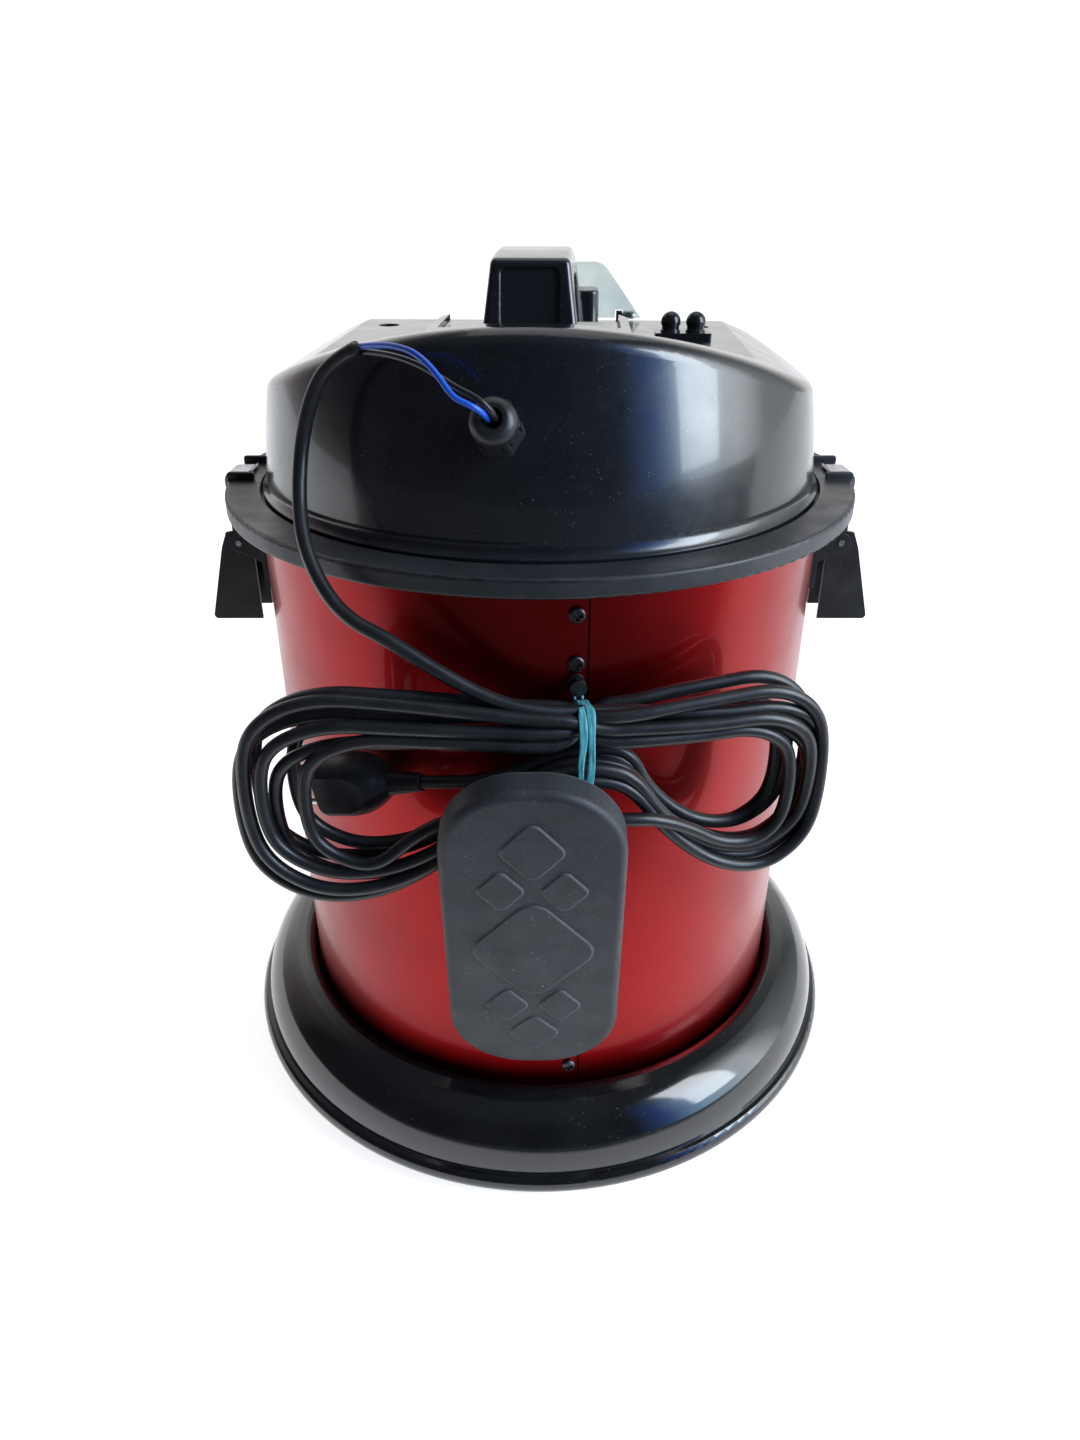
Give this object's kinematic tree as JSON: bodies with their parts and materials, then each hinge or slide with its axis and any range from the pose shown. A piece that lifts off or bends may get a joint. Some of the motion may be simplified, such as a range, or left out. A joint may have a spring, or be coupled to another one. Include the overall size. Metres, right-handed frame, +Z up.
{
  "type": "drum vacuum cleaner",
  "caption": "Drum vacuum cleaner: red steel drum on a flared bumper base, black latched motor head with carrying handle, stripped lead in a cable gland, hanked cord with a foot switch.",
  "frame": {"origin": "on the floor, under the drum's axis", "axes": "+Z up along the drum's axis; -Y towards the drum's seam, the cord and the foot switch; +Y towards the hose inlet; +X towards the right-hand latch seen from the seam side"},
  "size_m": [0.382, 0.3894, 0.4693],
  "materials": {
    "drum_red": "gloss metallic",
    "pan_steel": "plain",
    "base_black": "high gloss",
    "plate_black": "matte",
    "cover_black": "satin gloss",
    "flange_black": "satin, scuffed",
    "latch_black": "satin",
    "strap_steel": "brushed",
    "screw_zinc": "dark zinc",
    "clear_smoke": "clear tinted",
    "gland_black": "satin",
    "rubber_black": "matte",
    "cable_black": "satin PVC",
    "core_blue": "satin PVC",
    "core_black": "satin PVC",
    "tie_teal": "thin plastic strip",
    "pedal_black": "fine texture",
    "spring_steel": "wire",
    "pin_nickel": "nickel plated",
    "wheel_grey": "satin",
    "motor_steel": "plain",
    "motor_copper": "enamelled wire and laminations",
    "fan_aluminium": "plain",
    "filter_cloth": "felt",
    "rocker_red": "gloss",
    "clip_black": "gloss"
  },
  "bodies": {
    "drum": {"drum_shell": "drum_red", "drum_bottom": "pan_steel", "seam_screws": "screw_zinc", "cord_hook": "screw_zinc", "inlet_port": "latch_black", "inlet_gasket": "rubber_black", "inlet_screws": "screw_zinc", "inlet_elbow": "plate_black", "base_ring": "base_black", "base_plate": "plate_black", "base_screws": "screw_zinc", "latch_brackets": "latch_black", "latch_pins": "strap_steel", "latch_rivets": "screw_zinc", "cord_drop": "cable_black", "cord_hank": "cable_black", "cord_tie": "tie_teal", "pedal_base": "pedal_black", "pedal_spring": "spring_steel", "plug_body": "gland_black", "plug_pins": "pin_nickel"},
    "head": {"motor_tray": "flange_black", "head_cover": "cover_black", "handle": "cover_black", "tool_clip": "clip_black", "flap_hinge": "cover_black", "switch_bezel": "clip_black", "exhaust_grille": "flange_black", "gland_body": "gland_black", "gland_nut": "gland_black", "gland_seal": "rubber_black", "gland_locknut": "gland_black", "head_screws": "screw_zinc", "tray_gasket": "rubber_black", "intake_cage": "plate_black", "filter_sleeve": "filter_cloth", "filter_band": "rubber_black", "motor_gasket": "rubber_black", "blower_housing": "motor_steel", "motor_frame": "motor_steel", "motor_stator": "motor_copper", "core_blue": "core_blue", "core_black": "core_black"},
    "rotor": {"motor_rotor": "motor_copper", "fan_impeller": "fan_aluminium"},
    "rocker": {"switch_rocker": "rocker_red"},
    "flap": {"clear_flap": "clear_smoke"},
    "pedal": {"pedal_plate": "pedal_black"},
    "lever_right": {"latch_lever_right": "latch_black"},
    "strap_right": {"latch_strap_right": "strap_steel"},
    "lever_left": {"latch_lever_left": "latch_black"},
    "strap_left": {"latch_strap_left": "strap_steel"},
    "caster_1": {"caster_fork_1": "plate_black"},
    "wheel_1": {"caster_wheel_1": "wheel_grey"},
    "caster_2": {"caster_fork_2": "plate_black"},
    "wheel_2": {"caster_wheel_2": "wheel_grey"},
    "caster_3": {"caster_fork_3": "plate_black"},
    "wheel_3": {"caster_wheel_3": "wheel_grey"},
    "caster_4": {"caster_fork_4": "plate_black"},
    "wheel_4": {"caster_wheel_4": "wheel_grey"}
  },
  "joints": [
    {"name": "head_lift", "type": "slide", "parent": "drum", "child": "head", "axis": [0, 0, 1], "range_m": [0, 0.15], "deforming": ["cord_drop"]},
    {"name": "rotor_spin", "type": "hinge", "parent": "head", "child": "rotor", "pos_m": [0, 0, 0.38], "axis": [0, 0, 1], "continuous": true},
    {"name": "switch_rock", "type": "hinge", "parent": "head", "child": "rocker", "pos_m": [0.01306, 0.07407, 0.41109], "axis": [0.9848, -0.1736, 0], "range_deg": [-6, 6]},
    {"name": "flap_turn", "type": "hinge", "parent": "head", "child": "flap", "pos_m": [0.01042, 0.05909, 0.4278], "axis": [-0.9848, 0.1736, 0], "range_deg": [0, 116]},
    {"name": "pedal_press", "type": "hinge", "parent": "drum", "child": "pedal", "pos_m": [-0.02712, -0.1809, 0.25558], "axis": [0.9903, -0.1392, 0], "range_deg": [0, 0.9], "stiffness_Nm_per_rad": 20, "deforming": ["pedal_spring"]},
    {"name": "lever_right_turn", "type": "hinge", "parent": "drum", "child": "lever_right", "pos_m": [0.16458, -0.02167, 0.319], "axis": [-0.1305, -0.9914, 0], "range_deg": [0, 95]},
    {"name": "strap_right_turn", "type": "hinge", "parent": "lever_right", "child": "strap_right", "pos_m": [0.16656, -0.02193, 0.303], "axis": [-0.1305, -0.9914, 0], "range_deg": [-114, 0]},
    {"name": "lever_left_turn", "type": "hinge", "parent": "drum", "child": "lever_left", "pos_m": [-0.16458, 0.02167, 0.319], "axis": [0.1305, 0.9914, 0], "range_deg": [0, 95]},
    {"name": "strap_left_turn", "type": "hinge", "parent": "lever_left", "child": "strap_left", "pos_m": [-0.16656, 0.02193, 0.303], "axis": [0.1305, 0.9914, 0], "range_deg": [-114, 0]},
    {"name": "caster_1_swivel", "type": "hinge", "parent": "drum", "child": "caster_1", "pos_m": [0.09546, 0.09546, 0.032], "axis": [0, 0, 1], "continuous": true},
    {"name": "wheel_1_roll", "type": "hinge", "parent": "caster_1", "child": "wheel_1", "pos_m": [0.09546, 0.08446, 0.0135], "axis": [1, 0, 0], "continuous": true},
    {"name": "caster_2_swivel", "type": "hinge", "parent": "drum", "child": "caster_2", "pos_m": [-0.09546, 0.09546, 0.032], "axis": [0, 0, 1], "continuous": true},
    {"name": "wheel_2_roll", "type": "hinge", "parent": "caster_2", "child": "wheel_2", "pos_m": [-0.09546, 0.08446, 0.0135], "axis": [1, 0, 0], "continuous": true},
    {"name": "caster_3_swivel", "type": "hinge", "parent": "drum", "child": "caster_3", "pos_m": [-0.09546, -0.09546, 0.032], "axis": [0, 0, 1], "continuous": true},
    {"name": "wheel_3_roll", "type": "hinge", "parent": "caster_3", "child": "wheel_3", "pos_m": [-0.09546, -0.10646, 0.0135], "axis": [1, 0, 0], "continuous": true},
    {"name": "caster_4_swivel", "type": "hinge", "parent": "drum", "child": "caster_4", "pos_m": [0.09546, -0.09546, 0.032], "axis": [0, 0, 1], "continuous": true},
    {"name": "wheel_4_roll", "type": "hinge", "parent": "caster_4", "child": "wheel_4", "pos_m": [0.09546, -0.10646, 0.0135], "axis": [1, 0, 0], "continuous": true}
  ],
  "couplings": [
    {"joint": "strap_right_turn", "follows": "lever_right_turn", "ratio": -1.2},
    {"joint": "strap_left_turn", "follows": "lever_left_turn", "ratio": -1.2}
  ]
}
